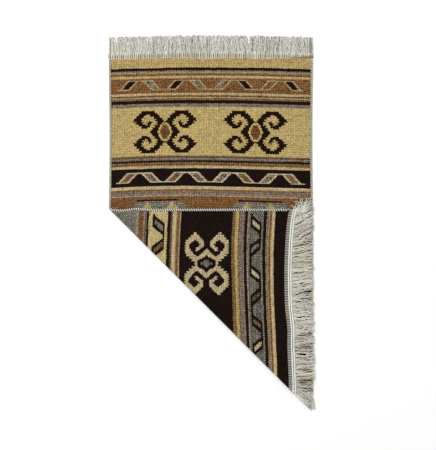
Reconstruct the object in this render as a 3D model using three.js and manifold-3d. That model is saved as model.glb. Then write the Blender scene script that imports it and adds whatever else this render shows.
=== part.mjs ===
// A small flat-woven wool rug lying on the floor, with one corner folded back over it.
// The rug is a rectangle about 600 mm wide and 1000 mm long between its two fringes. The corner
// at the lower left is turned up over a 45 degree line, so that its back shows on top.
// Millimetres, +Z up, the floor at z = 0, +Y towards the end that lies open.
//
// Everything is first laid out on the flat rug, in (u, v, h): u across the rug from its left
// side, v along it from the end of the weave, h up from the back of the cloth to its face.
// fold() then carries each flat point to its place on the folded rug.
import * as THREE from 'three';
import { mergeVertices } from 'three/addons/utils/BufferGeometryUtils.js';
import Module from 'manifold-3d';

const wasm = await Module();
wasm.setup();

// Driving dimensions of the rug
const rugWidth = 600;
const weaveLength = 965;
const clothThickness = 3;
const edgeCordWidth = 8;
const seam = 0.4; // between two pieces that meet
const cordSeam = 0.7; // beside the cords, whose sides twist as they go round the bend

// Driving dimensions of the two fringes
const topHeadingWidth = 14;
const bottomHeadingWidth = 23;
const headingThickness = 2.2;
const topStrandReach = 49;
const bottomStrandReach = 61;
const openCornerReach = 43; // of the strands that lie on the floor beside the fold
const strandsPerFringe = 140;
const strandRootRadius = 1.2;
const strandTipRadius = 0.8;

// Driving dimensions of the fold
const foldedLength = 525; // of the left side that is turned over, from the end of the weave
const bendRadius = 4; // at the middle of the cloth
const layerGap = 1; // between the two layers where the flap has settled
const settleAngle = THREE.MathUtils.degToRad(8);
const settleRadius = 120;

// How unevenly the rug is woven
const topBow = 6; // the rows rise by this much half way across at the open end
const bottomWave = 6.5; // and wave by this much either way at the folded end
const sideDraw = 2; // each side is drawn in by this much along the open part
const cornerWave = 3; // the left side waves by this much just before it is folded

// How finely the pieces are divided
const bendStep = 1.4; // of arc length round the bend
const clothColumns = 12;
const stripColumns = 2;

// The section across the fold, by arc length from where the cloth leaves the floor:
// round the bend, down a straight slope, through a settling curve and on over the first layer
const bendEnd = bendRadius * (Math.PI + settleAngle);
const slopeLength =
  (bendRadius * (1 + Math.cos(settleAngle)) -
    settleRadius * (1 - Math.cos(settleAngle)) -
    clothThickness -
    layerGap) /
  Math.sin(settleAngle);
const slopeEnd = bendEnd + slopeLength;
const settleEnd = slopeEnd + settleRadius * settleAngle;

function sectionAt(s) {
  const start = clothThickness / 2;
  if (s <= 0) return { across: s, height: start, angle: 0 };
  const turn = Math.min(s, bendEnd) / bendRadius;
  const point = {
    across: bendRadius * Math.sin(turn),
    height: start + bendRadius * (1 - Math.cos(turn)),
    angle: turn,
  };
  const slope = Math.min(Math.max(s - bendEnd, 0), slopeLength);
  point.across -= slope * Math.cos(settleAngle);
  point.height -= slope * Math.sin(settleAngle);
  const settling = Math.min(Math.max(s - slopeEnd, 0), settleEnd - slopeEnd) / settleRadius;
  const before = Math.PI + settleAngle;
  const after = before - settling;
  if (settling > 0) {
    point.across += settleRadius * (Math.sin(before) - Math.sin(after));
    point.height += settleRadius * (Math.cos(after) - Math.cos(before));
    point.angle = after;
  }
  point.across -= Math.max(s - settleEnd, 0);
  return point;
}

// The flat rug meets its folded part as in a mirror that stands on the line u + v = foldedLength.
// The bend starts a little before that line, because the cloth takes up some length to turn.
const turnedLength = settleEnd + sectionAt(settleEnd).across;
const bendStart = foldedLength + turnedLength / Math.SQRT2;

// Where a flat point of an evenly woven rug lies on this one, before it is folded
function weaveAt(u, v) {
  const across = u / rugWidth;
  const along = THREE.MathUtils.clamp(v / weaveLength, 0, 1);
  const topRise = topBow * 4 * across * (1 - across);
  const bottomRise = bottomWave * Math.sin((2 * Math.PI * (across - 0.05)) / 1.15);
  const openPart = THREE.MathUtils.clamp((along - 0.5) / 0.5, 0, 1);
  const drawnIn = sideDraw * Math.sin(Math.PI * openPart) ** 2;
  const pastWave = (v - 466) / 40;
  const wave = cornerWave * Math.sin(2.33 * pastWave) * Math.exp(-(pastWave ** 2) / 2);
  return {
    u: u + drawnIn * (1 - 2 * across) + wave * (1 - across) ** 6,
    v: v + THREE.MathUtils.lerp(bottomRise, topRise, along),
  };
}

function arcLength(u, v) {
  return (bendStart - u - v) / Math.SQRT2;
}

function fold(u, v, h) {
  const section = sectionAt(arcLength(u, v));
  const lift = h - clothThickness / 2;
  const across = section.across - lift * Math.sin(section.angle);
  const height = section.height + lift * Math.cos(section.angle);
  const sum = bendStart - Math.SQRT2 * across;
  const difference = u - v;
  return new THREE.Vector3((sum + difference) / 2, (sum - difference) / 2, height);
}

// Moves every vertex of a geometry to where place() says, and closes it by its points alone
function shaped(geometry, place) {
  const points = geometry.attributes.position;
  for (let i = 0; i < points.count; i++) {
    const p = place(points.getX(i), points.getY(i), points.getZ(i));
    points.setXYZ(i, p.x, p.y, p.z);
  }
  geometry.deleteAttribute('normal');
  geometry.deleteAttribute('uv');
  const merged = mergeVertices(geometry, 1e-3);
  const corners = merged.index.array;
  const kept = [];
  for (let i = 0; i < corners.length; i += 3) {
    const [a, b, c] = [corners[i], corners[i + 1], corners[i + 2]];
    if (a !== b && b !== c && c !== a) kept.push(a, b, c);
  }
  merged.setIndex(kept);
  return merged;
}

function solidOf(geometry) {
  return new wasm.Manifold(
    new wasm.Mesh({
      numProp: 3,
      vertProperties: new Float32Array(geometry.attributes.position.array),
      triVerts: new Uint32Array(geometry.index.array),
    }),
  );
}

function geometryOf(solid) {
  const mesh = solid.getMesh();
  const geometry = new THREE.BufferGeometry();
  geometry.setAttribute('position', new THREE.BufferAttribute(mesh.vertProperties, 3));
  geometry.setIndex(new THREE.BufferAttribute(mesh.triVerts, 1));
  return geometry;
}

// The rows of a slab run parallel to the fold, so that the bend is divided evenly.
// Each row is the line u + v = sum, and the rows stand closest round the bend.
function rowSums(panel) {
  const first = panel.u0 + panel.v0;
  const last = panel.u1 + panel.v1;
  const sums = [first, panel.u1 + panel.v0, panel.u0 + panel.v1, last];
  const bendMargin = 8;
  for (let s = -bendMargin; s < bendEnd + bendMargin; s += bendStep) {
    sums.push(bendStart - Math.SQRT2 * s);
  }
  const settleSteps = 6;
  for (let i = 1; i <= settleSteps; i++) {
    const from = bendEnd + bendMargin;
    const s = from + ((settleEnd + bendMargin - from) * i) / settleSteps;
    sums.push(bendStart - Math.SQRT2 * s);
  }
  const flatStep = 75;
  for (let sum = bendStart + 3 * bendMargin; sum < last; sum += flatStep) sums.push(sum);
  for (let sum = bendStart - 2 * settleEnd; sum > first; sum -= flatStep) sums.push(sum);
  const inside = sums.filter((sum) => sum >= first && sum <= last).sort((a, b) => a - b);
  return inside.filter((sum, i) => i === 0 || sum - inside[i - 1] > 0.5);
}

// A flat panel u0..u1 by v0..v1 of the rug, with its lowest and highest h given by how far
// across the panel a point lies, from 0 at its upper left side to 1 at its lower right one
function slab(panel) {
  const sums = rowSums(panel);
  const box = new THREE.BoxGeometry(1, 1, 1, panel.columns, sums.length - 1, 1);
  return shaped(box, (x, y, z) => {
    const share = x + 0.5;
    const sum = sums[Math.round((y + 0.5) * (sums.length - 1))];
    const uFrom = Math.max(panel.u0, sum - panel.v1);
    const uTo = Math.min(panel.u1, sum - panel.v0);
    const u = THREE.MathUtils.lerp(uFrom, uTo, share);
    const woven = weaveAt(u, sum - u);
    const h = z < 0 ? panel.low(share) : panel.high(share);
    return fold(woven.u, woven.v, h);
  });
}

// The field of the rug, one piece of weft-faced weave
function cloth() {
  return slab({
    u0: edgeCordWidth,
    u1: rugWidth - edgeCordWidth,
    v0: 0,
    v1: weaveLength,
    columns: clothColumns,
    low: () => 0,
    high: () => clothThickness,
  });
}

// A whipped edge: the outermost warps bound in thick yarn, round on its outer side
function edgeCord(u0, u1, outerShare) {
  const rounding = 0.8;
  const isOuter = (share) => Math.abs(share - outerShare) < 0.01;
  return slab({
    u0,
    u1,
    v0: 0,
    v1: weaveLength,
    columns: stripColumns,
    low: (share) => (isOuter(share) ? rounding : 0),
    high: (share) => clothThickness - (isOuter(share) ? rounding : 0),
  });
}

// The woven cotton heading that holds a fringe, flush with the back of the cloth
function heading(v0, v1) {
  return slab({
    u0: 0,
    u1: rugWidth,
    v0,
    v1,
    columns: stripColumns,
    low: () => 0,
    high: () => headingThickness,
  });
}

// A three-sided strand between two flat points (u, v). Its flat side keeps to the height that
// level() gives for a share of its length, and its ridge is above that, or below if turned over.
function strand({ root, tip, level, steps, sway = 0, turned = false }) {
  const length = root.distanceTo(tip);
  const along = tip.clone().sub(root).normalize();
  const sideways = new THREE.Vector2(along.y, -along.x);
  const rod = new THREE.CylinderGeometry(strandTipRadius, strandRootRadius, length, 3, steps);
  if (turned) rod.rotateY(Math.PI);
  return shaped(rod, (x, y, z) => {
    const share = y / length + 0.5;
    const radius = THREE.MathUtils.lerp(strandRootRadius, strandTipRadius, share);
    const aside = x + sway * Math.sin(Math.PI * share);
    const u = root.x + along.x * share * length + sideways.x * aside;
    const v = root.y + along.y * share * length + sideways.y * aside;
    return fold(u, v, level(share) + z + (turned ? -radius : radius) / 2);
  });
}

// Neighbouring strands lean and sway nearly alike, so that they never cross
function lean(i) {
  return 2.1 * Math.sin(0.37 * i) + 1.2 * Math.sin(1.13 * i + 1);
}

function strandSway(i) {
  return 1.2 * Math.sin(0.61 * i + 2);
}

// The middle of strand i where it leaves its heading at v = edge
function strandRoot(i, edge, inwards) {
  const margin = 2.5;
  const u = margin + ((rugWidth - 2 * margin) * i) / (strandsPerFringe - 1);
  const woven = weaveAt(u, edge);
  return new THREE.Vector2(woven.u, woven.v + inwards);
}

const rootDepth = 3; // of a strand inside its heading
const insideHeading = 0.2; // between a root and either face of its heading

// A flat side that starts inside the heading and comes to lie at height h
function landing(start, h, landed) {
  return (share) => THREE.MathUtils.lerp(start, h, Math.min(share / landed, 1));
}

function topFringe() {
  const edge = weaveLength + seam + topHeadingWidth;
  let solid = solidOf(heading(weaveLength + seam, edge));
  for (let i = 0; i < strandsPerFringe; i++) {
    const root = strandRoot(i, edge, -rootDepth);
    const trim = 2 * Math.sin(2.3 * i);
    const tip = root.clone();
    tip.x += lean(i);
    tip.y = edge + topBow + topStrandReach - 2 + trim;
    const rod = { root, tip, level: landing(insideHeading, 0, 0.5), steps: 2 };
    solid = solid.add(solidOf(strand({ ...rod, sway: strandSway(i) })));
  }
  return geometryOf(solid);
}

// Angle of strand i of the folded end from the run of the warp, towards larger u: the strands
// splay out at the corner of the flap, and again towards the fold
function flapAngle(i, pastBend) {
  const splay = THREE.MathUtils.degToRad(66) * Math.exp(-i / 7);
  const sweep = THREE.MathUtils.degToRad(38) * Math.exp(-Math.max(pastBend, 0) / 34);
  return sweep - splay;
}

function towards(root, angle, reach) {
  const step = new THREE.Vector2(Math.sin(angle), -Math.cos(angle));
  return root.clone().addScaledVector(step, reach);
}

// On the flap the strands come down from the heading on to the lower layer, flat side down.
// Round the bend they keep to the heading's height, and past it they lie on the floor.
function bottomFringe() {
  const edge = -(seam + bottomHeadingWidth);
  const overLowerLayer = clothThickness + layerGap - 0.3;
  const bendMargin = 5;
  let solid = solidOf(heading(edge, -seam));
  for (let i = 0; i < strandsPerFringe; i++) {
    const root = strandRoot(i, edge, rootDepth);
    const s = arcLength(root.x, root.y);
    const reach = root.y - edge + bottomStrandReach + 2 * Math.sin(2.9 * i);
    let rod;
    if (s > bendEnd) {
      const tip = towards(root, flapAngle(i, s - bendEnd), reach);
      tip.x += lean(i) / 2;
      const start = headingThickness - insideHeading;
      rod = { root, tip, level: landing(start, overLowerLayer, 2 / 3), steps: 3, turned: true };
      rod.sway = strandSway(i);
    } else if (s > -bendMargin) {
      const tip = towards(root, flapAngle(i, 0), reach);
      const start = headingThickness - insideHeading;
      rod = { root, tip, level: () => start, steps: 6, turned: true };
    } else {
      const share = (rugWidth - root.x) / (rugWidth - bendStart + edge);
      const angle = THREE.MathUtils.degToRad(12 + 18 * share);
      const toSide = (rugWidth + 6 - root.x) / Math.sin(angle);
      const tip = towards(root, angle, Math.min(openCornerReach - 14 * share, toSide));
      rod = { root, tip, level: landing(insideHeading, 0, 0.5), steps: 2 };
    }
    solid = solid.add(solidOf(strand(rod)));
  }
  return geometryOf(solid);
}

const wool = new THREE.MeshStandardMaterial({ color: 0xb39a68, roughness: 0.95, metalness: 0 });
const whipping = new THREE.MeshStandardMaterial({ color: 0xa9a394, roughness: 0.9, metalness: 0 });
const cotton = new THREE.MeshStandardMaterial({ color: 0xcfcbbd, roughness: 0.9, metalness: 0 });

function piece(name, geometry, material) {
  const mesh = new THREE.Mesh(geometry, material);
  mesh.name = name;
  return mesh;
}

const rug = new THREE.Group();
rug.name = 'rug';
rug.add(piece('cloth', cloth(), wool));
rug.add(piece('edge_cord_left', edgeCord(0, edgeCordWidth - cordSeam, 0), whipping));
rug.add(piece('edge_cord_right', edgeCord(rugWidth - edgeCordWidth + cordSeam, rugWidth, 1), whipping));
rug.add(piece('fringe_top', topFringe(), cotton));
rug.add(piece('fringe_bottom', bottomFringe(), cotton));

// The origin is on the floor, under the middle of everything
const middle = new THREE.Box3().setFromObject(rug).getCenter(new THREE.Vector3());
rug.position.set(-middle.x, -middle.y, 0);

export default rug;
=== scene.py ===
import math

import bmesh
import bpy
import numpy as np
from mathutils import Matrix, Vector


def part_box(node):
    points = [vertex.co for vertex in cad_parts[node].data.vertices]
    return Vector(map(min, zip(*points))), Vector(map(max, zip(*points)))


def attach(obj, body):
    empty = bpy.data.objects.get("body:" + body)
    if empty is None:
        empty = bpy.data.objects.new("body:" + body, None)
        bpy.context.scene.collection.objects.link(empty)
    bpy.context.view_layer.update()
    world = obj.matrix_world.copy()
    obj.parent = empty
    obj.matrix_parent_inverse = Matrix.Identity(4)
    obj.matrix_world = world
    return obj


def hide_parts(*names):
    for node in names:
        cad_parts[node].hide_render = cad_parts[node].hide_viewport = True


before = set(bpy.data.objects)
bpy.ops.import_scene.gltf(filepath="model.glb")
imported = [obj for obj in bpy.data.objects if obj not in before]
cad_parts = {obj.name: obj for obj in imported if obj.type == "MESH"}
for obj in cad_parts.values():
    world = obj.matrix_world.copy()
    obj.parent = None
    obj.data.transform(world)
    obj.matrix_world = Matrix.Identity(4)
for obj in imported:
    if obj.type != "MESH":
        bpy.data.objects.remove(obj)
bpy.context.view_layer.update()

# The look of a small wool kilim that lies on a pale floor with one corner folded over.
# Places on the rug are flat ones, in millimetres: u across it from its left side, v along it
# from the folded end of the weave, and h up from its back. fold() takes them to the scene.

rng = np.random.default_rng(7)
METRE = 1000.0

# The rug's driving sizes, as in the solids
RUG_WIDTH = 600.0
WEAVE_LENGTH = 965.0
THICKNESS = 3.0
EDGE_CORD = 8.0
TOP_HEADING = 14.0
BOTTOM_HEADING = 23.0
HEADING_THICKNESS = 2.2
TOP_REACH = 49.0
BOTTOM_REACH = 61.0
SEAM = 0.4
CORD_SEAM = 0.7
CORD_LAP = 1.0

# The fold
FOLDED_LENGTH = 525.0
BEND_RADIUS = 4.0
LAYER_GAP = 1.0
SETTLE_ANGLE = math.radians(8)
SETTLE_RADIUS = 120.0
BEND_END = BEND_RADIUS * (math.pi + SETTLE_ANGLE)
SLOPE_LENGTH = (
    BEND_RADIUS * (1 + math.cos(SETTLE_ANGLE))
    - SETTLE_RADIUS * (1 - math.cos(SETTLE_ANGLE))
    - THICKNESS
    - LAYER_GAP
) / math.sin(SETTLE_ANGLE)
SLOPE_END = BEND_END + SLOPE_LENGTH
SETTLE_END = SLOPE_END + SETTLE_RADIUS * SETTLE_ANGLE

# How unevenly it is woven: its rows rise half way across at the open end and wave at the folded
# one, whose last rows waver too. Its sides are drawn in, and the left one waves beside the fold.
TOP_BOW = 6.0
BOTTOM_WAVE = 6.5
BOTTOM_WAVE_START = 0.05
BOTTOM_WAVE_LENGTH = 1.15
END_WAVER_REACH = 34
SIDE_DRAW = 2.0
CORNER_WAVE = 3.0
CORNER_WAVE_AT = 466
CORNER_WAVE_REACH = 40
CORNER_WAVE_TURN = 2.33

# How far its layers lift off the floor
LIFT = 0.55
LIFT_GROWTH = 3.5

# The photograph's frame: a pixel's size, and where the rug's left side and weave's end are in it
IMAGE_WIDTH, IMAGE_HEIGHT = 436, 450
PIXEL = 2.934
LEFT_SIDE_PX, WEAVE_END_PX = 108.6, 58.7


def stacked(*numbers):
    """Points from their numbers, any of which may be one for all of them."""
    return np.stack(np.broadcast_arrays(*numbers), axis=-1)


def section(s):
    """Where the middle of the cloth is, by arc length past the start of the bend."""
    turn = np.clip(s, 0, BEND_END) / BEND_RADIUS
    across = np.minimum(s, 0) + BEND_RADIUS * np.sin(turn)
    height = THICKNESS / 2 + BEND_RADIUS * (1 - np.cos(turn))
    slope = np.clip(s - BEND_END, 0, SLOPE_LENGTH)
    across -= slope * math.cos(SETTLE_ANGLE)
    height -= slope * math.sin(SETTLE_ANGLE)
    settling = np.clip(s - SLOPE_END, 0, SETTLE_END - SLOPE_END) / SETTLE_RADIUS
    before = math.pi + SETTLE_ANGLE
    across += SETTLE_RADIUS * (math.sin(before) - np.sin(before - settling))
    height += SETTLE_RADIUS * (np.cos(before - settling) - math.cos(before))
    across -= np.maximum(s - SETTLE_END, 0)
    return across, height, turn - settling


def bend_start():
    """Where the bend starts, as the value that u + v has there."""
    across = section(np.array([SETTLE_END]))[0][0]
    return FOLDED_LENGTH + (SETTLE_END + across) / math.sqrt(2)


BEND_START = bend_start()


def bottom_rise(u):
    """How far the folded end's rows have risen from a straight line."""
    return BOTTOM_WAVE * np.sin(2 * np.pi * (u / RUG_WIDTH - BOTTOM_WAVE_START) / BOTTOM_WAVE_LENGTH)


def weave_at(u, v):
    """Where a flat point of an evenly woven rug lies on this one, before it is folded."""
    across = u / RUG_WIDTH
    along = np.clip(v / WEAVE_LENGTH, 0, 1)
    top_rise = TOP_BOW * 4 * across * (1 - across)
    end_rise = bottom_rise(u)
    open_part = np.clip((along - 0.5) / 0.5, 0, 1)
    drawn_in = SIDE_DRAW * np.sin(np.pi * open_part) ** 2
    past_wave = (v - CORNER_WAVE_AT) / CORNER_WAVE_REACH
    wave = CORNER_WAVE * np.sin(CORNER_WAVE_TURN * past_wave) * np.exp(-(past_wave**2) / 2)
    return (
        u + drawn_in * (1 - 2 * across) + wave * np.clip(1 - across, 0, 1) ** 6,
        v + end_rise + (top_rise - end_rise) * along,
    )


def end_waver(u):
    """How far the folded end's last rows waver from their line, along the rug."""
    return 3.2 - 7.5 * np.exp(-u / 30) - 3.6 * np.exp(-(((u - 350) / 40) ** 2))


def place_of_rug():
    """The flat point that lies on the frame's origin, from the right cord's far corner."""
    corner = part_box("edge_cord_right")[1]
    across = 1 - EDGE_CORD / RUG_WIDTH + CORD_SEAM / RUG_WIDTH
    highest = WEAVE_LENGTH + TOP_BOW * 4 * across * (1 - across)
    return RUG_WIDTH - corner.x * METRE, highest - corner.y * METRE


ORIGIN_U, ORIGIN_V = place_of_rug()


def lift(x, y):
    """How far the cloth stands off the floor, in soft waves that never go below it."""
    waves = np.sin(x / 71 + 1.1 * np.sin(y / 113)) + np.sin(y / 87 - x / 190 + 2)
    return LIFT * (1 + waves / 2)


def fold(points):
    """Flat points (u, v, h) in millimetres, as points of the scene in metres."""
    u, v, h = points[..., 0], points[..., 1], points[..., 2]
    across, height, angle = section((BEND_START - u - v) / math.sqrt(2))
    above = h - THICKNESS / 2
    across = across - above * np.sin(angle)
    z = height + above * np.cos(angle)
    total = BEND_START - math.sqrt(2) * across
    x = (total + u - v) / 2 - ORIGIN_U
    y = (total - u + v) / 2 - ORIGIN_V
    z = z + lift(x, y) * np.clip(z, 0, None) / LIFT_GROWTH
    return stacked(x, y, z) / METRE


def woven(points):
    """fold(), for points of an evenly woven rug."""
    u, v = weave_at(points[..., 0], points[..., 1])
    at_end = np.clip((END_WAVER_REACH - points[..., 1]) / END_WAVER_REACH, 0, 1)
    past_heading = np.clip((-BOTTOM_HEADING - points[..., 1]) / BOTTOM_REACH, 0, 1)
    v = v + end_waver(points[..., 0]) * np.minimum(at_end, 1 - past_heading)
    return fold(stacked(u, v, points[..., 2]))


def spot(right, down):
    """The x and y of a place in the photograph's frame, given in its pixels."""
    x = ((right - LEFT_SIDE_PX) * PIXEL - ORIGIN_U) / METRE
    y = (WEAVE_LENGTH - (down - WEAVE_END_PX) * PIXEL - ORIGIN_V) / METRE
    return x, y


def put(name, data, place=(0, 0, 0)):
    """A new object of the scene."""
    made = bpy.data.objects.new(name, data)
    made.location = place
    bpy.context.collection.objects.link(made)
    return made


# Camera, straight above the rug
CAMERA_HEIGHT = 4.0
camera_data = bpy.data.cameras.new("camera")
camera_data.lens = camera_data.sensor_width * CAMERA_HEIGHT * METRE / (IMAGE_HEIGHT * PIXEL)
above_middle = (*spot(IMAGE_WIDTH / 2, IMAGE_HEIGHT / 2), CAMERA_HEIGHT)
bpy.context.scene.camera = put("camera", camera_data, above_middle)


def linear(colour):
    """An sRGB colour of 0 to 255 as a linear one."""
    shares = [c / 255 for c in colour]
    return tuple(c / 12.92 if c <= 0.04045 else ((c + 0.055) / 1.055) ** 2.4 for c in shares)


class Graph:
    """A material's nodes, made by calls that take sockets or plain values."""

    def __init__(self, name):
        self.material = bpy.data.materials.new(name)
        self.material.use_nodes = True
        self.tree = self.material.node_tree
        self.shader = self.tree.nodes["Principled BSDF"]

    def node(self, kind, *values, **settings):
        """A new node with these settings, and these values in its first sockets."""
        made = self.tree.nodes.new(kind)
        for key, value in settings.items():
            setattr(made, key, value)
        for value, socket in zip(values, made.inputs):
            self.join(value, socket)
        return made

    def join(self, value, socket):
        if isinstance(value, bpy.types.NodeSocket):
            self.tree.links.new(value, socket)
        elif isinstance(value, tuple) and len(value) == 3 and len(socket.default_value) == 4:
            socket.default_value = (*value, 1)
        else:
            socket.default_value = value

    def math(self, operation, *values):
        return self.node("ShaderNodeMath", *values, operation=operation).outputs[0]

    def add(self, a, b):
        return self.math("ADD", a, b)

    def less(self, a, b):
        return self.math("SUBTRACT", a, b)

    def times(self, a, b):
        return self.math("MULTIPLY", a, b)

    def times_add(self, a, b, c):
        return self.math("MULTIPLY_ADD", a, b, c)

    def over(self, a, b):
        return self.math("DIVIDE", a, b)

    def apart(self, a, b):
        return self.math("ABSOLUTE", self.less(a, b))

    def count(self, a, b):
        """How many whole b there are in a."""
        return self.math("FLOOR", self.over(a, b))

    def odd(self, a):
        """1 for an odd whole number, and 0 for an even one."""
        return self.math("MODULO", a, 2.0)

    def any_of(self, *values):
        whole = values[0]
        for value in values[1:]:
            whole = self.math("MAXIMUM", whole, value)
        return whole

    def above(self, a, b):
        return self.math("GREATER_THAN", a, b)

    def below(self, a, b):
        return self.math("LESS_THAN", a, b)

    def between(self, low, value, high):
        return self.times(self.above(value, low), self.below(value, high))

    def near(self, value, centre, reach):
        return self.math("COMPARE", value, centre, reach)

    def ramp(self, value, low, high, to_low=0.0, to_high=1.0):
        """A smooth step from to_low at low to to_high at high."""
        values = (value, low, high, to_low, to_high)
        made = self.node("ShaderNodeMapRange", *values, interpolation_type="SMOOTHSTEP")
        return made.outputs[0]

    def mix(self, share, a, b):
        made = self.node("ShaderNodeMix", data_type="RGBA")
        self.join(share, made.inputs["Factor"])
        self.join(a, made.inputs[6])
        self.join(b, made.inputs[7])
        return made.outputs[2]

    def scaled(self, colour, amount):
        made = self.node("ShaderNodeVectorMath", operation="SCALE")
        self.join(colour, made.inputs[0])
        self.join(amount, made.inputs["Scale"])
        return made.outputs[0]

    def vector(self, x, y, z=0.0):
        return self.node("ShaderNodeCombineXYZ", x, y, z).outputs[0]

    def random(self, x, y, z=0.0):
        """An even random number for each whole x and y."""
        place = self.vector(x, y, z)
        made = self.node("ShaderNodeTexWhiteNoise", place, noise_dimensions="3D")
        return made.outputs["Value"]

    def noise(self, *places, seed=0.0, detail=2.0):
        """Soft noise, from two or three pairs of a place and how many patches a unit of it has."""
        scaled = [self.times(place, scale) for place, scale in places] + [seed]
        made = self.node("ShaderNodeTexNoise", self.vector(*scaled[:3]), noise_dimensions="3D")
        made.inputs["Scale"].default_value = 1.0
        made.inputs["Detail"].default_value = detail
        return made.outputs[0]

    def uv(self, name):
        made = self.node("ShaderNodeUVMap", uv_map=name)
        return self.node("ShaderNodeSeparateXYZ", made.outputs[0]).outputs[:2]

    def place(self):
        """The point's own place in the scene."""
        made = self.node("ShaderNodeTexCoord")
        return self.node("ShaderNodeSeparateXYZ", made.outputs["Object"]).outputs

    def finish(self, colour, height, depth, roughness, sheen):
        """Closes the material: its colour, and its relief of that depth in millimetres."""
        inputs = self.shader.inputs
        self.join(colour, inputs["Base Color"])
        inputs["Roughness"].default_value = roughness
        inputs["Specular IOR Level"].default_value = 0.05
        inputs["Sheen Weight"].default_value = sheen
        inputs["Sheen Roughness"].default_value = 0.6
        bump = self.node("ShaderNodeBump")
        bump.inputs["Distance"].default_value = depth / METRE
        self.join(height, bump.inputs["Height"])
        self.join(bump.outputs[0], inputs["Normal"])
        return self.material


# The yarns, by their colours on the rug
YARNS = {
    "gold": (174, 151, 98), "cream": (178, 156, 102), "pale": (184, 161, 121),
    "tan": (181, 151, 107), "fawn": (157, 136, 105), "ochre": (108, 83, 45),
    "brown": (112, 87, 54), "rust": (112, 78, 46), "rose": (160, 132, 110),
    "chalk": (184, 166, 138), "ecru": (177, 161, 124), "straw": (184, 165, 116),
    "teal": (92, 104, 98), "olive": (160, 146, 100), "copper": (100, 64, 34),
    "dun": (166, 141, 102), "mauve": (116, 103, 91), "taupe": (88, 72, 54),
    "slate": (100, 99, 89), "silver": (137, 127, 112), "black": (26, 12, 3),
    "umber": (23, 13, 8),
}
DYES = {yarn: linear(colour) for yarn, colour in YARNS.items()}

# The bands from the open end of the weave to the folded one: how wide, and of which yarn
BANDS = [
    (31.5, "gold"), (7.9, "black"), (4.7, "mauve"), (3.8, "fawn"), (7.3, "ochre"), (7.3, "tan"),
    (43.6, "rust"), (6.2, "pale"), (5.9, "ochre"), (2.9, "fawn"), (5.6, "brown"), (9.7, "black"),
    (10.5, "mauve"), (142.9, "cream"), (6.4, "taupe"), (6.7, "mauve"), (5.9, "black"),
    (10.5, "brown"), (7.0, "pale"), (52.7, "umber"), (8.8, "pale"), (5.9, "brown"),
    (11.1, "mauve"), (3.8, "rose"), (44.3, "rust"), (68.6, "slate"), (7.3, "silver"),
    (13.8, "rust"), (4.1, "silver"), (2.9, "taupe"), (2.9, "mauve"), (6.7, "black"),
    (54.8, "straw"), (8.8, "black"), (5.9, "taupe"), (11.4, "pale"), (9.1, "brown"),
    (3.5, "fawn"), (151.2, "umber"), (9.3, "brown"), (8.5, "gold"), (3.2, "brown"),
    (14.9, "mauve"), (8.5, "black"), (3.5, "silver"), (37.6, "slate"), (2.5, "silver"),
    (3.0, "slate"), (9.1, "black"), (2.9, "silver"), (2.9, "brown"), (2.9, "fawn"), (5.9, "rust"),
    (9.4, "pale"), (36.7, "umber"),
]

# The weave: how far apart the warps are, and how long a stitch is along them
WARP = 3.66
STITCH = 1.72

# The horned motifs: the warps that their middles are on, and how far along the rug these are
OPEN_MOTIF_WARPS = (45, 118)
OPEN_MOTIF_V = 745.5
FOLDED_MOTIF_WARPS = (43.65, 119.6)
FOLDED_MOTIF_V = 232.3

# A quarter of each horned motif, counted out from its middle. Each line lists the runs that are
# woven in the motif's colour, in the spacing of the warps. The open part's lines lie two stitches
# apart along the rug, and the folded part's a warp apart across it.
OPEN_HORN = [
    [(6, 12)], [(5, 10)], [(5, 10)], [(5, 9), (13, 18)], [(4, 8), (12, 19)], [(4, 8), (11, 20)],
    [(3, 6), (11, 14), (16, 22)], [(2, 6), (10, 14), (17, 23)], [(0, 6), (10, 13), (17, 23)],
    [(1, 7), (11, 12), (18, 25)], [(2, 7), (18, 25)], [(2, 8), (18, 24)], [(4, 9), (17, 23)],
    [(4, 11), (16, 22)], [(5, 12), (15, 21)], [(6, 20)], [(8, 19)], [(8, 18)],
]
OPEN_CORE = [[(0, 4)], [(0, 3)], [(0, 3)], [(0, 2)], [(0, 2)], [(0, 1)]]
FOLDED_HORN = [
    [(7.5, 9.6)], [(7.5, 9.8)], [(7.2, 11.8)], [(5.8, 12)], [(3.5, 14)], [(1.5, 14.3)],
    [(0.9, 6), (8.8, 16)], [(0, 5.7), (10.3, 16.5)], [(0, 3.5), (11.2, 17.3)],
    [(0, 3.3), (11.5, 17.6)], [(0, 1.8), (6.6, 9.2), (12.8, 17.7)],
    [(0, 1.3), (5.8, 9.1), (13.3, 17.7)], [(4.3, 8.9), (14.3, 17.7)], [(2.8, 7.6), (14.3, 17.6)],
    [(2.5, 6.3), (14.4, 17.6)], [(2.5, 6), (14, 17.5)], [(2.6, 6.8), (12.8, 17.6)],
    [(2.6, 8), (11.5, 17.6)], [(3, 8.8), (10.6, 17)], [(4.3, 16.1)], [(4.8, 15)], [(6, 14.1)],
    [(6.8, 13.3)], [(8.4, 11.8)], [(8.8, 11.1)],
]
FOLDED_CORE = [[(0, 4.6)], [(0, 3)], [(0, 1.5)], [(0, 0.8)]]

# Runs that start further out than this are a chart's outer ones
INNER_RUNS_END = 8.5

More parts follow.
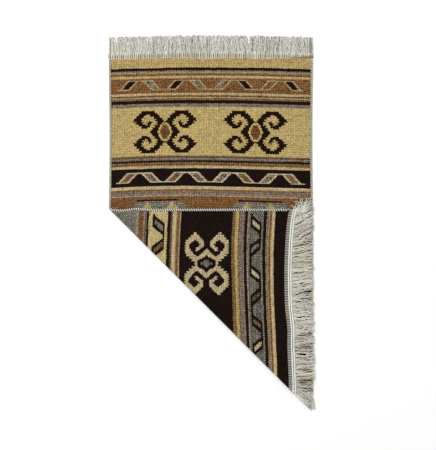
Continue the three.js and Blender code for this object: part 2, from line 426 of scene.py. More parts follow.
# The zigzag borders. base and tip are the v of a tooth's base and tip, centre the u of the first
# tooth's middle, and period how far apart the teeth are. inner and outer are how far from a
# tooth's middle its two lines are, at its base and at its tip. fills are the yarns of the teeth's
# halves in turn.
ZIGZAGS = [
    dict(
        base=868.5, tip=897.5, centre=93, period=137.5, inner=(35, 7), outer=(59, 34),
        line=2.7, span=(24, 572), outline="dun",
        fills="black heather black heather heather black ochre black",
    ),
    dict(
        base=597, tip=627, centre=90, period=138, inner=(35, 6), outer=(62, 33),
        line=3.2, span=(22, 578), outline="chalk",
        fills="brown heather brown heather heather brown heather brown",
    ),
    dict(
        base=394, tip=358, centre=81.7, period=141, inner=(34, 5), outer=(61, 32),
        line=5.4, span=(14, 586), outline="umber",
        fills="mauve brown mauve brown mauve brown mauve brown",
    ),
    dict(
        base=108, tip=74.5, centre=80.8, period=144.4, inner=(33.5, 7.5), outer=(59.5, 31.5),
        line=6.0, span=(14, 586), outline="umber",
        fills="ecru mauve ecru taupe brown ecru mauve ecru",
    ),
]

# The striped fields that rise into the rust band: the u and the slope of each one's left side and
# right side, the v of its foot, body, top and stripes, and the u and slope of the peaks on them
FIELDS = ((84, 1.9, 203, 0.9), (383, 1.15, 508, 0.85))
FIELD_FOOT = 508.0
FIELD_BODY = 533.0
FIELD_TOP = 547.0
FIELD_STRIPES = ((FIELD_TOP, "umber"), (542.5, "silver"), (539.5, "taupe"), (536.5, "silver"))
PEAKS = ((115, 1.6), (188, 1.1), (406, 1.3), (477, 1.5))
PEAK_FOOT = 506
PEAK_HEIGHT = 35.0


def charted(graph, row, place, chart, end_tooth, start_tooth=0.0):
    """Where a chart's runs are, for a row's number and a place along it.

    The teeth say how much further out this row's runs end, and its outer ones start.
    """
    here = [graph.near(row, index, 0.5) for index in range(len(chart))]
    parts = []
    for run in range(max(len(runs) for runs in chart)):
        ends = []
        for side in (0, 1):
            total = 0.0
            for on_line, runs in zip(here, chart):
                if run < len(runs) and runs[run][side]:
                    total = graph.times_add(on_line, runs[run][side], total)
            ends.append(total)
        shift = graph.times(start_tooth, graph.above(ends[0], INNER_RUNS_END))
        start = graph.add(graph.less(ends[0], 0.01), shift)
        end = graph.add(ends[1], end_tooth)
        used = graph.above(ends[1], 0.1)
        parts.append(graph.times(used, graph.between(start, place, end)))
    return graph.any_of(*parts)


def from_middle(graph, u, centres):
    """How far a stitch is from the nearest of some warps."""
    away = [graph.apart(u, c * WARP) for c in centres]
    return graph.math("MINIMUM", *away)


def open_horns(graph, u, v, colour):
    """The two dark motifs of the open part, charted along the rug."""
    place = graph.less(graph.over(from_middle(graph, u, OPEN_MOTIF_WARPS), WARP), 0.45)
    height = graph.apart(v, OPEN_MOTIF_V)
    line = graph.count(height, 2 * STITCH)
    tooth = graph.odd(line)
    for chart, yarn in ((OPEN_CORE, "copper"), (OPEN_HORN, "black")):
        woven_in = charted(graph, line, place, chart, tooth, tooth)
        colour = graph.mix(woven_in, colour, DYES[yarn])
    return colour


def folded_horns(graph, u, v, colour):
    """The two pale motifs of the folded part, charted across the rug."""
    away = from_middle(graph, u, FOLDED_MOTIF_WARPS)
    line = graph.count(away, WARP)
    place = graph.over(graph.apart(v, FOLDED_MOTIF_V), WARP)
    tooth = graph.times(graph.odd(line), -0.9)
    for chart, yarn in ((FOLDED_CORE, "slate"), (FOLDED_HORN, "ecru")):
        woven_in = charted(graph, line, place, chart, tooth)
        colour = graph.mix(woven_in, colour, DYES[yarn])
    return colour


def zigzag(graph, u, v, colour, base, tip, centre, period, inner, outer, line, span, outline, fills):
    """A running zigzag of filled lozenges between v of base and of tip, and within span of u."""
    tooth = graph.over(graph.less(u, centre), period)
    index = graph.math("FLOOR", graph.add(tooth, 0.5))
    offset = graph.times(graph.less(tooth, index), period)
    away = graph.math("ABSOLUTE", offset)
    share = graph.over(graph.less(v, base), tip - base)
    inside = graph.times(graph.between(0.0, share, 1.0), graph.between(span[0], u, span[1]))
    edges = [graph.times_add(share, at_tip - at_base, at_base) for at_base, at_tip in (inner, outer)]
    lines = [graph.near(away, edge, line) for edge in edges]
    cap = line / abs(tip - base)
    lines.append(graph.times(graph.above(share, 1 - cap), graph.below(away, outer[1])))
    lines.append(graph.times(graph.below(share, cap), graph.above(away, inner[0])))
    filled = graph.times(inside, graph.between(edges[0], away, edges[1]))
    number = graph.times_add(index, 2.0, graph.above(offset, 0.0))
    mottle = graph.above(graph.random(u, graph.math("SNAP", v, 3.0), 3.0), 0.5)
    heather = graph.mix(mottle, DYES["taupe"], DYES["silver"])
    for i, yarn in enumerate(fills.split()):
        here = graph.times(filled, graph.near(number, i, 0.5))
        fill = heather if yarn == "heather" else DYES[yarn]
        colour = graph.mix(here, colour, fill)
    drawn = graph.times(inside, graph.any_of(*lines))
    return graph.mix(drawn, colour, DYES[outline])


def trapezoids(graph, u, v, colour):
    """The striped grey fields that rise into the rust band, with small gold peaks on them."""
    for left, left_slope, right, right_slope in FIELDS:
        left_drop = graph.times(graph.less(left, u), left_slope)
        right_drop = graph.times(graph.less(u, right), right_slope)
        crest = graph.less(FIELD_TOP, graph.any_of(left_drop, right_drop, 0.0))
        field = graph.times(graph.below(v, crest), graph.above(v, FIELD_FOOT))
        for high, yarn in FIELD_STRIPES:
            stripe = graph.times(field, graph.below(v, high))
            colour = graph.mix(stripe, colour, DYES[yarn])
        body = graph.times(field, graph.below(v, FIELD_BODY))
        patches = graph.ramp(graph.noise((u, 0.03), (v, 0.05), seed=6.0), 0.45, 0.6)
        filling = graph.mix(patches, DYES["slate"], DYES["teal"])
        colour = graph.mix(body, colour, filling)
    for centre, slope in PEAKS:
        away = graph.math("SNAP", graph.apart(u, centre), WARP)
        height = graph.apart(v, PEAK_FOOT)
        peak = graph.below(graph.add(graph.times(away, slope), height), PEAK_HEIGHT)
        colour = graph.mix(peak, colour, DYES["olive"])
    return colour


def sagged(graph, u, v):
    """A stitch's v on the rows of the folded end that sag in their middle."""
    off_middle = graph.apart(u, RUG_WIDTH / 2)
    sag = graph.ramp(off_middle, 220.0, 40.0, 0.0, 5.0)
    sag = graph.times(sag, graph.ramp(v, 30.0, 105.0, 0.4, 1.0))
    return graph.add(v, graph.times(sag, graph.ramp(v, 190.0, 145.0)))


def banded(graph, u, v, stitch_v):
    """The bands, whose edges drift a little across the rug."""
    drift = graph.less(graph.noise((u, 0.012), (v, 0.03)), 0.5)
    band_v = graph.add(stitch_v, graph.times(drift, 3.2))
    colour = DYES[BANDS[-1][1]]
    start = 0.0
    for width, yarn in reversed(BANDS):
        colour = graph.mix(graph.above(band_v, start), colour, DYES[yarn])
        start += width
    return colour


def dyed(graph, u, v, column, rows, row, colour):
    """The colour with the dye's streaks in it, and a tone for each stitch and pass of the weft.

    Dark yarns are the most speckled, and grey ones differ most from pass to pass. A checker of
    stitch pairs in the tone is painted shade, standing in for the dips between the stitches.
    """
    hue = graph.node("ShaderNodeSeparateColor", colour, mode="HSV")
    saturation, value = hue.outputs[1], hue.outputs[2]
    pairs = graph.count(rows, 2.0)
    grey = graph.ramp(saturation, 0.32, 0.12, 0.1, 0.55)
    tone = 0.0
    for part, weight in (
        (graph.random(column, row), 0.5),
        (graph.random(column, pairs, 5.0), 0.45),
        # Painted shade: a checker of stitch pairs, for the shade in the dips between the stitches
        (graph.odd(graph.add(column, pairs)), 0.42),
        (graph.random(0.0, pairs, 7.0), grey),
        (graph.odd(column), 0.14),
    ):
        tone = graph.times_add(graph.less(part, 0.5), weight, tone)
    speckle = graph.ramp(value, 0.42, 0.1, 1.0, 2.0)
    abrash = graph.less(graph.noise((u, 0.008), (v, 0.06), seed=3.0), 0.5)
    tone = graph.times_add(abrash, 0.28, graph.times_add(tone, speckle, 1.0))
    streak = graph.noise((u, 0.02), (row, 0.4), seed=9.0)
    light = graph.ramp(value, 0.02, 0.15)
    warmer = graph.times(light, graph.ramp(streak, 0.5, 0.75, 0.0, 0.3))
    duller = graph.times(light, graph.ramp(streak, 0.5, 0.25, 0.0, 0.2))
    colour = graph.mix(warmer, colour, DYES["rust"])
    colour = graph.mix(duller, colour, DYES["ochre"])
    return colour, graph.any_of(tone, 0.15)


def stitch_relief(graph, u, rows):
    """How high a point is on its stitch, which is an oval bead over its warp."""
    across = graph.math("FRACT", graph.over(u, WARP))
    across = graph.times_add(across, 2.0, -1.0)
    along = graph.times_add(graph.math("FRACT", rows), 2.0, -1.0)
    round_across = graph.less(1.0, graph.math("POWER", graph.math("ABSOLUTE", across), 2.4))
    round_along = graph.less(1.0, graph.math("POWER", graph.math("ABSOLUTE", along), 2.0))
    crown = graph.times_add(round_along, 0.6, 0.4)
    return graph.times(graph.math("POWER", round_across, 0.5), crown)


def weave_material():
    """Weft-faced wool: rows of small oval stitches, coloured stitch by stitch, with painted shade."""
    graph = Graph("kilim weave")
    u, v = graph.uv("flat")
    column = graph.count(u, WARP)
    shift = graph.times(graph.odd(column), 0.5)
    rows = graph.add(graph.over(v, STITCH), shift)
    row = graph.math("FLOOR", rows)
    stitch_u = graph.times(graph.add(column, 0.5), WARP)
    stitch_v = graph.times(graph.less(graph.add(row, 0.5), shift), STITCH)
    stitch_v = sagged(graph, stitch_u, stitch_v)

    colour = banded(graph, u, v, stitch_v)
    colour = trapezoids(graph, stitch_u, stitch_v, colour)
    for border in ZIGZAGS:
        colour = zigzag(graph, stitch_u, stitch_v, colour, **border)
    colour = open_horns(graph, stitch_u, stitch_v, colour)
    colour = folded_horns(graph, stitch_u, stitch_v, colour)
    colour, tone = dyed(graph, u, v, column, rows, row, colour)

    bead = stitch_relief(graph, u, rows)
    fibre = graph.noise((u, 0.7), (v, 3.2), detail=3.0)
    height = graph.times_add(fibre, 0.25, bead)
    # Painted shade, darkest in the dips between the stitches, and a faint painted highlight on their
    # crowns
    shade = graph.ramp(bead, 0.0, 0.75, 0.62, 1.04)
    tone = graph.times(tone, graph.times_add(fibre, 0.24, 0.88))
    colour = graph.scaled(colour, graph.times(tone, shade))
    return graph.finish(colour, height, depth=0.7, roughness=0.95, sheen=0.02)


# Stains on the folded end's fringe: where they are and how far they reach, in pixels of the
# photograph's frame, and their colour and strength
STAINS = [
    ((303, 341), (8, 9), (208, 176, 160), 0.32),
    ((305, 363), (7, 9), (208, 176, 160), 0.32),
    ((300, 229), (8, 6), (190, 160, 150), 0.35),
    ((311, 295), (2.6, 6), (218, 208, 150), 0.5),
    ((303.5, 381), (8, 4.2), (146, 114, 66), 0.9),
    ((311.5, 380.5), (3, 4), (168, 150, 80), 0.9),
]

# The colours of dirt on the yarns and of dust on the tapes
DIRT = (150, 140, 112)
DUST = (142, 138, 134)


def yarn_material(name, pale, deep, stains=()):
    """Twisted yarn. Its map gives how deep in the twist a point is, and a tone for its strand."""
    graph = Graph(name)
    groove, tone = graph.uv("yarn")
    x, y, z = graph.place()
    fibre = graph.noise((x, 900.0), (y, 900.0), (z, 900.0), detail=3.0)
    dirt = graph.noise((x, 28.0), (y, 28.0), seed=4.0, detail=3.0)
    colour = graph.mix(tone, linear(deep), linear(pale))
    colour = graph.mix(graph.ramp(dirt, 0.5, 0.75, 0.0, 0.25), colour, linear(DIRT))
    for centre, reach, stain, strength in stains:
        squares = []
        for value, at, far in zip((x, y), spot(*centre), reach):
            off = graph.times(graph.less(value, at), METRE / PIXEL / far)
            squares.append(graph.times(off, off))
        ragged = graph.times_add(dirt, 1.2, graph.add(*squares))
        share = graph.ramp(ragged, 1.6, 0.5, 0.0, strength)
        colour = graph.mix(share, colour, linear(stain))
    mottle = graph.times_add(fibre, 0.3, 0.85)
    # Painted shade: darker deep in the twist's grooves, times the fibre's own mottle
    shade = graph.times(graph.ramp(groove, 0.0, 1.0, 1.0, 0.74), mottle)
    height = graph.less(graph.times(fibre, 0.4), groove)
    colour = graph.scaled(colour, shade)
    return graph.finish(colour, height, depth=0.25, roughness=0.9, sheen=0.2)


def tape_material(name, dark, pale):
    """A heading's tape: fine ribs of cotton, with painted shade between them and patches of dust."""
    graph = Graph(name)
    u, v = graph.uv("flat")
    rib = graph.math("ABSOLUTE", graph.math("SINE", graph.times(u, math.pi / WARP)))
    fibre = graph.noise((u, 2.0), (v, 2.0), detail=3.0)
    dirt = graph.noise((u, 0.03), (v, 0.08), seed=5.0)
    # Painted shade: the colour goes to the dark one in the hollows between the ribs
    colour = graph.mix(graph.ramp(rib, 0.1, 0.9), linear(dark), linear(pale))
    colour = graph.mix(graph.ramp(dirt, 0.4, 0.7, 0.0, 0.35), colour, linear(DUST))
    colour = graph.scaled(colour, graph.times_add(fibre, 0.4, 0.8))
    height = graph.times_add(fibre, 0.3, rib)
    return graph.finish(colour, height, depth=0.5, roughness=0.92, sheen=0.15)


def mesh_piece(name, points, faces, material, maps):
    """A piece of the rug. maps gives each map's value at each corner of each face."""
    mesh = bpy.data.meshes.new(name)
    mesh.from_pydata(points.reshape(-1, 3).tolist(), [], faces)
    for key, values in maps.items():
        layer = mesh.uv_layers.new(name=key)
        layer.uv.foreach_set("vector", np.asarray(values, dtype=np.float32).ravel())
    mesh.polygons.foreach_set("use_smooth", [True] * len(mesh.polygons))
    mesh.materials.append(material)
    mesh.update()
    piece = put(name, mesh)
    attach(piece, "root")
    return piece


def join_points(piece):
    """Joins the points that lie on each other, such as those where a slab's rows shrink away."""
    made = bmesh.new()
    made.from_mesh(piece.data)
    bmesh.ops.remove_doubles(made, verts=made.verts, dist=1e-7)
    bmesh.ops.dissolve_degenerate(made, edges=made.edges, dist=1e-7)
    bmesh.ops.recalc_face_normals(made, faces=made.faces)
    made.to_mesh(piece.data)
    made.free()


# How far past each end of the bend a slab's rows stay close together
BEND_MARGIN = 12


def row_sums(u0, u1, v0, v1, flat_step, bend_step):
    """Where a slab's rows lie, as values of u + v: along the fold, and closest round it."""
    first, last = u0 + v0, u1 + v1
    from_bend = np.arange(-BEND_MARGIN, SETTLE_END + BEND_MARGIN, bend_step)
    bend = BEND_START - math.sqrt(2) * from_bend
    flat = np.arange(first, last, flat_step)
    flat = flat[(flat < bend.min() - 1) | (flat > bend.max() + 1)]
    sums = np.concatenate([[first, u1 + v0, u0 + v1, last], bend, flat])
    sums = np.unique(sums[(sums >= first) & (sums <= last)])
    return sums[np.concatenate([[True], np.diff(sums) > 0.05])]


def slab(name, u0, u1, v0, v1, low, high, columns, steps, material):
    """A closed sheet between two heights, whose rows run the way the fold does."""
    sums = row_sums(u0, u1, v0, v1, *steps)
    u_from = np.maximum(u0, sums - v1)[:, None]
    u_to = np.minimum(u1, sums - v0)[:, None]
    u = u_from + (u_to - u_from) * np.linspace(0, 1, columns + 1)
    v = sums[:, None] - u
    points = np.concatenate([stacked(u, v, h).reshape(-1, 3) for h in (high, low)])
    rows, across = u.shape
    under = rows * across

    # The baked picture holds the upper face and the lower one side by side
    faces = []
    bake = []
    size = max(u1 - u0, (v1 - v0) / 2) * 2.04

    def add_face(corners, sheet):
        kept = list(dict.fromkeys(corners))
        faces.append(kept)
        for corner in kept:
            flat_u, flat_v = points[corner, 0] - u0, points[corner, 1] - v0
            bake.append((flat_u / size + sheet * 0.5, flat_v / size))

    grid = np.arange(under).reshape(rows, across)
    for r in range(rows - 1):
        for c in range(across - 1):
            a, b, d, e = grid[r, c], grid[r, c + 1], grid[r + 1, c + 1], grid[r + 1, c]
            add_face([a, b, d, e], 0)
            add_face([a + under, e + under, d + under, b + under], 1)
        for c, outward in ((0, 1), (across - 1, -1)):
            a, e = grid[r, c], grid[r + 1, c]
            add_face([a, e, e + under, a + under][::outward], 0)
    flat_map = [(points[c, 0], points[c, 1]) for face in faces for c in face]
    maps = {"flat": flat_map, "OFBake": bake}
    piece = mesh_piece(name, woven(points), faces, material, maps)
    join_points(piece)
    return piece


# The sides that a yarn's section has
YARN_SIDES = 6


def yarns(name, material, lines, radius, tones, lobes, turn=0.0):
    """Many yarns as one piece, closed at their ends.

    lines are centre lines (yarn, point, 3). lobes is how deep the twist of two plies cuts in, and
    turn how far the section has turned. radius and turn may differ from point to point.
    """
    count, steps, _ = lines.shape
    along = np.gradient(lines, axis=1)
    along /= np.linalg.norm(along, axis=-1, keepdims=True)
    side = np.cross(along, [0.0, 0.0, 1.0])
    side /= np.maximum(np.linalg.norm(side, axis=-1, keepdims=True), 1e-9)
    up = np.cross(side, along)
    angles = np.arange(YARN_SIDES) * 2 * np.pi / YARN_SIDES
    spin = np.broadcast_to(turn, (count, steps))[:, :, None] + angles
    depth = (1 - np.cos(2 * angles)) / 2
    reach = np.broadcast_to(radius, (count, steps))[:, :, None] * (1 - lobes * depth)
    points = (
        lines[:, :, None, :]
        + side[:, :, None, :] * (reach * np.cos(spin))[..., None]
        + up[:, :, None, :] * (reach * np.sin(spin))[..., None]
    )
    index = np.arange(count * steps * YARN_SIDES).reshape(count, steps, YARN_SIDES)
    after = np.roll(index, -1, axis=2)
    quads = np.stack([index[:, :-1], after[:, :-1], after[:, 1:], index[:, 1:]], axis=-1)
    ends = np.concatenate([index[:, 0, ::-1], index[:, -1]])
    faces = quads.reshape(-1, 4).tolist() + ends.tolist()

    groove = np.broadcast_to(depth, index.shape)
    yarn_map = stacked(groove, np.reshape(tones, (-1, 1, 1))).reshape(-1, 2)
    corners = np.concatenate([quads.reshape(-1), ends.reshape(-1)])

    # Each yarn has its own column of the baked picture
    column = np.arange(count)[:, None, None, None]
    round_it = np.arange(YARN_SIDES)[None, None, :, None] + np.array([0, 1, 1, 0])
    down_it = np.arange(steps - 1)[None, :, None, None] + np.array([0, 0, 1, 1])
    bake_u = (column + 0.04 + 0.92 * round_it / YARN_SIDES) / count
    bake_v = 0.01 + 0.98 * down_it / (steps - 1)
    side_bake = stacked(bake_u, bake_v).reshape(-1, 2)
    owner = np.tile(np.arange(count), 2)[:, None] + 0.5
    level = np.repeat([0.005, 0.995], count)[:, None]
    spread = 0.3 * np.cos(angles) / count
    end_bake = stacked(owner / count + spread, level).reshape(-1, 2)
    maps = {"yarn": yarn_map[corners], "OFBake": np.concatenate([side_bake, end_bake])}
    return mesh_piece(name, woven(points), faces, material, maps)


def heading_tape(name, v0, v1, low, tape):
    """The strip that a fringe is rooted in."""
    return slab(
        name, 0, RUG_WIDTH, v0, v1, low, HEADING_THICKNESS,
        columns=60, steps=(4.0, 1.0), material=tape,
    )


def cloth():
    """The woven field, whose sides lie a little way under the whipped edges."""
    inset = EDGE_CORD - CORD_LAP
    piece = slab(
        "cloth_weave", inset, RUG_WIDTH - inset, 0.0, WEAVE_LENGTH, 0.0, THICKNESS,
        columns=84, steps=(8.0, 1.0), material=weave_material(),
    )
    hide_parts("cloth")
    return piece


# The whipped edges: how far apart the turns are, the points in a turn, and how far the coils'
# middle is from that of the cord, how high it lies and how far they rise from it. Then for each
# yarn its start, its radius and the coil's.
WHIP_PITCH = 6.5
WHIP_STEPS = 14
WHIP_SHIFT = 0.2
WHIP_LEVEL = 1.5
WHIP_RISE = 0.6
WHIP_YARNS = {"pale": (0.0, 1.35, 2.6), "dark": (math.pi, 1.05, 2.3)}
WHIP_CORE_RADIUS = 1.3

# How far the whipping stops short of the weave's ends, and where the left edge turns its back up
WHIP_SHORT = 2
TURNED_AT = 533


def edge_cords(name, side, v_from, v_to, pale, dark):
    """A long edge: its cords whipped over with a pale yarn and a dark one, turn by turn."""
    made = []
    from_side = EDGE_CORD / 2 - WHIP_SHIFT
    centre = from_side if side == "left" else RUG_WIDTH - from_side
    v = np.arange(v_from, v_to, WHIP_PITCH / WHIP_STEPS)
    for part, material in (("pale", pale), ("dark", dark)):
        start, radius, width = WHIP_YARNS[part]
        around = start - 2 * math.pi * v / WHIP_PITCH
        level = WHIP_LEVEL + WHIP_RISE * np.sin(around)
        line = stacked(centre + width * np.cos(around), v, level)
        turn = 0.4 * np.arange(len(v))
        piece = f"{name}_{part}"
        made.append(yarns(piece, material, line[None], radius, [0.95], 0.12, turn))
    core = stacked(centre, v[:: WHIP_STEPS // 2], WHIP_LEVEL)
    piece = f"{name}_core"
    made.append(yarns(piece, dark, core[None], WHIP_CORE_RADIUS, [0.3], lobes=0.0))
    return made


# The points along a rib, and those in each turn of a twined line
RIB_STEPS = 7
TWINE_STEPS = 12


def ribs(name, material, spots, v_from, v_to, tones, height_from, height_to, radius):
    """A row of short thick yarns side by side, such as the warps bound over a heading."""
    share = np.linspace(0, 1, RIB_STEPS)
    v = v_from + (v_to - v_from) * share
    h = height_from + (height_to - height_from) * share
    lines = stacked(spots[:, None], v, h)
    # Each is thinner at its ends
    thick = radius * (0.55 + 0.45 * np.sin(np.pi * (0.12 + 0.76 * share)))
    return yarns(name, material, lines, thick, tones, lobes=0.1)


def twined_line(name, material, v, h, radius, pitch, tones=(0.95, 0.8)):
    """Two plies twined round each other along a heading."""
    u = np.arange(0.5, RUG_WIDTH - 0.5, pitch / TWINE_STEPS)
    # Beyond the fold it lies on the floor, and so as high as it is thick
    h = h + (radius - h) * np.clip((u + v - BEND_START + 14) / 12, 0, 1)
    lines = []
    for start in (0, np.pi):
        around = 2 * np.pi * u / pitch + start
        along = v + 0.6 * radius * np.cos(around)
        level = h + 0.4 * radius * np.sin(around)
        lines.append(stacked(u, along, level))
    return yarns(name, material, np.array(lines), 0.72 * radius, tones, lobes=0.12, turn=0.25 * u)


# How many loose strands each fringe has, and the tassel at the flap's corner. Then the points of a
# strand, how far along it each is, and how thick strands are at their roots and how long at most.
STRANDS = 520
TASSEL_STRANDS = 36
STRAND_STEPS = 28
ALONG = np.linspace(0, 1, STRAND_STEPS)
STRAND_RADII = (1.15, 1.5)
LONGEST_STRAND = 68

# How they sway, as the lengths of their waves and how far these go aside, and the number and
# widths of the locks that they gather in
SWAYS = ((31.0, 1.9), (17.0, 1.2), (9.0, 0.45))
LOCKS = 90
LOCK_WIDTHS = (7, 20)


def strands(name, material, roots, angles, curls, reach, heights, waves, layer, start, toward, pull):
    """A fringe's loose yarns, each wavy in its own way.

    angles are from straight out of the rug towards larger u, and curls are how far each yarn has
    turned from that at its tip. Each rises from the height start to heights, its level along it,
    and goes along the rug the way that toward says. waves is how much it sways. Those of layer 0
    are dark ones behind, and pull is how strongly the others gather in locks. Layer 0 and a few
    others are given dark tones, which are painted shade under and between the strands.
    """
    count = len(roots)
    bearing = angles[:, None] + curls[:, None] * ALONG**1.5
    step = reach[:, None] / (STRAND_STEPS - 1)
    out = np.cumsum(np.cos(bearing) * step, axis=1) - step
    aside = np.cumsum(np.sin(bearing) * step, axis=1) - step * np.sin(bearing[:, :1])
    distance = reach[:, None] * ALONG
    sway = np.zeros_like(out)
    for length, size in SWAYS:
        lengths = length * rng.uniform(0.8, 1.25, (count, 1))
        phase = rng.uniform(0, 2 * np.pi, (count, 1))
        wave = np.sin(2 * np.pi * distance / lengths + phase) - np.sin(phase)
        sway += size * rng.uniform(0.3, 1.0, (count, 1)) * wave
    sway *= waves[:, None] * np.minimum(ALONG * 4, 1)

    # All but the dark ones gather in locks, with gaps between these
    bounds = np.cumsum(rng.uniform(*LOCK_WIDTHS, LOCKS)) - LOCK_WIDTHS[1]
    lock = np.searchsorted(bounds, roots[:, 0])
    middle = (bounds[lock - 1] + bounds[lock]) / 2
    gather = pull * rng.uniform(0.3, 1, LOCKS + 1)[lock] * (middle - roots[:, 0]) * (layer > 0)
    pinch = rng.uniform(0.7, 1.2, LOCKS + 1)[lock][:, None]
    sway += gather[:, None] * np.sin(np.pi * np.clip(ALONG * pinch, 0, 1))

    u = roots[:, :1] + aside + sway * np.cos(bearing)
    v = roots[:, 1:] + toward * (out - sway * np.sin(bearing))
    settled = np.clip(ALONG / 0.3, 0, 1) ** 0.7
    h = start + (heights - start) * settled
    radius = rng.uniform(*STRAND_RADII, (count, 1)) * (1 - 0.35 * ALONG**2)
    turn = rng.uniform(0, np.pi, (count, 1)) + np.arange(STRAND_STEPS) * 1.05
    # Painted shade: the strands behind and a few others get dark tones, for the shade under and
    # between strands
    dark = (layer == 0) | (rng.uniform(0, 1, count) < 0.08)
    tones = np.where(dark, rng.uniform(0.05, 0.65, count), rng.uniform(0.7, 1, count))
    return yarns(name, material, stacked(u, v, h), radius, tones, lobes=0.35, turn=turn)


def strand_places():
    """The u of a whole fringe's strands, evenly spread but for a little jitter."""
    return np.linspace(2, RUG_WIDTH - 2, STRANDS) + rng.uniform(-0.9, 0.9, STRANDS)


def top_fringe(material, tape):
    """The loose end's fringe, all on the floor, with its warps bound over the cloth's last row."""
    near = WEAVE_LENGTH + SEAM
    far = near + TOP_HEADING
    heading = heading_tape("fringe_top_heading", near, far, 0.0, tape)
    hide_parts("fringe_top")
    # The binding's lower side dips a little in the middle and rises at the right
    spots = np.arange(2.5, RUG_WIDTH - 1, 5.5)
    spots += rng.uniform(-0.7, 0.7, len(spots))
    lowest = 959 - 3 * np.exp(-(((spots - 290) / 40) ** 2)) + 12 * np.clip((spots - 500) / 90, 0, 1)
    lowest += rng.uniform(-1.5, 1.5, len(spots))
    bound = ribs(
        "fringe_top_binding", material, spots, lowest[:, None], far + 2,
        rng.uniform(0.5, 1, len(spots)), height_from=3.3, height_to=2.6, radius=1.55,
    )
    u = strand_places()
    roots = stacked(u, far - 7)
    # Those at the two sides lie straight
    free = np.where((u < 20) | (u > RUG_WIDTH - 20), 0.0, 1.0)
    drift = 0.08 * np.sin(u / 24 + 1) + 0.07 * np.sin(u / 9.5) + rng.normal(0, 0.06, STRANDS)
    angles = drift * free
    curls = rng.normal(0, 0.1, STRANDS) * free
    reach = TOP_REACH + 6.5 + rng.normal(-1.5, 1.5, STRANDS)
    layer = rng.integers(0, 4, STRANDS)
    heights = 1.1 + layer[:, None] * 0.8 * (1 - 0.7 * ALONG)
    waves = rng.uniform(0.6, 1.4, STRANDS) * (0.4 + 0.6 * free)
    loose = strands(
        "fringe_top_strands", material, roots, angles, curls, reach, heights, waves, layer,
        start=1.2, toward=1, pull=0.35,
    )
    return [heading, bound, loose]


def corner_tassel(material):
    """The folded end's outermost strands, which curl over each other at the flap's corner."""
    count = TASSEL_STRANDS
    roots = stacked(rng.uniform(0, 14, count), rng.uniform(-54, -19, count))
    angles = rng.uniform(-1.95, -0.95, count)
    curls = rng.normal(0, 1.3, count)
    room = (roots[:, 1] + 72) / np.maximum(np.cos(angles + curls / 2), 0.3)
    reach = np.minimum(rng.uniform(22, 42, count), room)
    layer = rng.integers(0, 5, count)
    heights = 2.6 - 0.8 * layer[:, None]
    waves = rng.uniform(0.8, 1.7, count)
    return strands(
        "fringe_bottom_tassel", material, roots, angles, curls, reach, heights, waves, layer,
        start=1.4, toward=-1, pull=0.0,
    )


def bottom_heading(white, dusty, tape):
    """The folded end's ribbed tape, with the warps bound over it and three twined lines."""
    near = -SEAM
    heading = heading_tape("fringe_bottom_heading", near - BOTTOM_HEADING, near, 0.3, tape)
    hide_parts("fringe_bottom")
    spots = np.arange(1.6, RUG_WIDTH - 1, WARP)
    every_other = np.arange(len(spots)) % 2
    tones = 0.12 + 0.76 * every_other + rng.uniform(-0.12, 0.12, len(spots))
    bound = ribs(
        "fringe_bottom_binding", dusty, spots, near + 0.5, near - 10.0, tones,
        height_from=0.5, height_to=0.4, radius=1.35,
    )
    return [
        heading,
        bound,
        twined_line("fringe_bottom_line_near", white, near - 12.2, h=0.4, radius=1.9, pitch=5.2),
        twined_line(
            "fringe_bottom_line_middle", dusty, near - 15.3, h=0.7, radius=1.3, pitch=7.4,
            tones=(0.0, 0.5),
        ),
        twined_line("fringe_bottom_line_far", white, near - 18.4, h=0.4, radius=2.0, pitch=5.6),
    ]


def bottom_strands(material):
    """The folded end's strands: on the back of the rug, round the bend, and on the floor."""
    far = -SEAM - BOTTOM_HEADING
    u = strand_places()
    roots = stacked(u, far + 3)
    past_bend = (BEND_START - u - far) / math.sqrt(2) - BEND_END
    on_floor = past_bend < -BEND_END - 5
    near_bend = (past_bend < 12) & ~on_floor
    past_fold = np.clip((RUG_WIDTH - u) / (RUG_WIDTH - BEND_START + far), 0, 1)
    in_corner = np.clip(1 - u / 34, 0, 1)

    # They splay at the corner, and sweep along the fold where they come near it
    splay = 0.25 * np.exp(-u / 18) + 0.64 * np.exp(-((u / 105) ** 2))
    sweep = 0.66 * np.exp(-np.maximum(past_bend, 0) / 34)
    drift = 0.12 * np.sin(u / 21) + 0.08 * np.sin(u / 8.3) - 0.08 + rng.normal(0, 0.09, STRANDS)
    angles = np.where(on_floor, 0.21 + 0.31 * past_fold, sweep - splay + drift)
    curls = np.where(on_floor, 0.0, rng.normal(0, 0.16 + 1.0 * in_corner, STRANDS))

    # They end on one line, but for those in the corner, near the fold and on the floor
    lean = np.cos(np.clip(angles, -0.9, 0.9))
    reach = (51.5 + 0.0135 * u + bottom_rise(u)) / lean + rng.normal(0, 1.4, STRANDS)
    to_side = (RUG_WIDTH + 5 - u) / np.sin(np.maximum(angles, 0.05))
    reach = np.where(on_floor, np.minimum(43 - 14 * past_fold, to_side), reach)
    reach = reach * (1 - in_corner * rng.uniform(0.3, 0.8, STRANDS))
    reach = reach * (1 - 0.24 * np.clip(1 - (past_bend + 8) / 40, 0, 1) * ~on_floor)
    reach = np.minimum(reach, LONGEST_STRAND)

    layer = rng.integers(0, 3, STRANDS)
    layer = np.where(on_floor, np.maximum(layer, 1), layer)
    pull = np.where(on_floor, 0.15, 0.7 + 0.45 * np.exp(-(((u - 400) / 90) ** 2)))
    on_back = 2.7 - layer[:, None] * 1.1 * (1 - 0.5 * ALONG)
    low = np.where(near_bend, 1.6, 1.1 + 0.3 * layer)[:, None]
    heights = np.where((near_bend | on_floor)[:, None], low, on_back)
    waves = rng.uniform(0.6, 1.4, STRANDS) + 0.8 * in_corner
    waves = np.where(near_bend | on_floor, 0.3, waves)
    return strands(
        "fringe_bottom_strands", material, roots, angles, curls, reach, heights, waves, layer,
        start=1.1, toward=-1, pull=pull,
    )


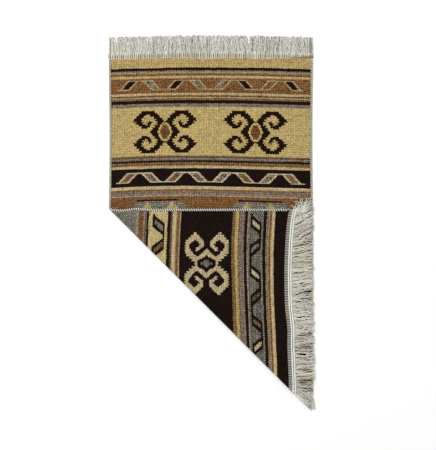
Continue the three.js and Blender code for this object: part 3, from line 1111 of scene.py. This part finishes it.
def main():
    """The whole rug: its edges, its two fringes and its cloth, folded as one sheet."""
    whip_pale = yarn_material("whipping, pale", (240, 236, 218), (206, 200, 180))
    whip_dark = yarn_material("whipping, dun", (128, 120, 98), (92, 84, 66))
    back_pale = yarn_material("whipping, pale on the back", (255, 253, 243), (228, 224, 208))
    back_dark = yarn_material("whipping, dark on the back", (50, 44, 34), (28, 24, 18))
    cotton = yarn_material("cotton yarn", (244, 242, 229), (122, 117, 103))
    # Painted light: the cotton yarn with a brighter pale tone, for the fringe that lies on dark cloth
    cotton_painted_brighter = yarn_material("cotton yarn, painted brighter", (255, 253, 238), (118, 108, 90), STAINS)
    white = yarn_material("twining", (255, 255, 246), (232, 230, 218))
    tape = tape_material("heading tape", (78, 74, 66), (172, 169, 158))
    top_tape = tape_material("heading tape, yellowed", (76, 64, 40), (142, 130, 96))
    dusty = yarn_material("cotton yarn, dusty", (204, 202, 192), (92, 88, 80))

    top_end = WEAVE_LENGTH - WHIP_SHORT
    left = edge_cords("edge_left_open", "left", TURNED_AT, top_end, whip_pale, whip_dark)
    left += edge_cords("edge_left_folded", "left", WHIP_SHORT, TURNED_AT, back_pale, back_dark)
    right = edge_cords("edge_right", "right", WHIP_SHORT, top_end, whip_pale, whip_dark)
    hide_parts("edge_cord_left")
    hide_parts("edge_cord_right")
    fringes = top_fringe(cotton, top_tape)
    fringes += bottom_heading(white, dusty, tape)
    fringes.append(bottom_strands(cotton_painted_brighter))
    fringes.append(corner_tassel(cotton_painted_brighter))
    field = cloth()


# How far the floor reaches and how far below the rug it is, and each lamp's place, size and power
FLOOR_REACH = 6.0
FLOOR_DROP = 0.0005
LIGHTS = (
    ("key", (-1.5, 1.4, 2.6), 1.4, 62),
    ("fill", (1.8, -0.6, 2.8), 2.4, 22),
)


def studio():
    """A pale floor just under the rug, an even sky, and two soft lamps."""
    floor_mesh = bpy.data.meshes.new("floor")
    corners = [(x * FLOOR_REACH, y * FLOOR_REACH, 0) for x, y in ((-1, -1), (1, -1), (1, 1), (-1, 1))]
    floor_mesh.from_pydata(corners, [], [(0, 1, 2, 3)])
    paint = Graph("floor")
    paint.shader.inputs["Base Color"].default_value = (0.93, 0.93, 0.925, 1)
    paint.shader.inputs["Roughness"].default_value = 0.9
    floor_mesh.materials.append(paint.material)
    floor = put("floor", floor_mesh, (0, 0, -FLOOR_DROP))

    world = bpy.data.worlds.new("studio")
    bpy.context.scene.world = world
    world.use_nodes = True
    sky = world.node_tree.nodes["Background"]
    sky.inputs["Color"].default_value = (1, 1, 1, 1)
    sky.inputs["Strength"].default_value = 0.62

    for name, place, size, power in LIGHTS:
        light = bpy.data.lights.new(name, "AREA")
        light.size = size
        light.energy = power
        lamp = put(name, light, place)
        lamp.rotation_euler = (-lamp.location).to_track_quat("-Z", "Y").to_euler()
    bpy.context.scene.view_settings.view_transform = "Standard"
    # Keeps the weave's own grain, which is as fine as the picture's pixels
    bpy.context.scene.cycles.denoising_prefilter = "NONE"


main()
studio()
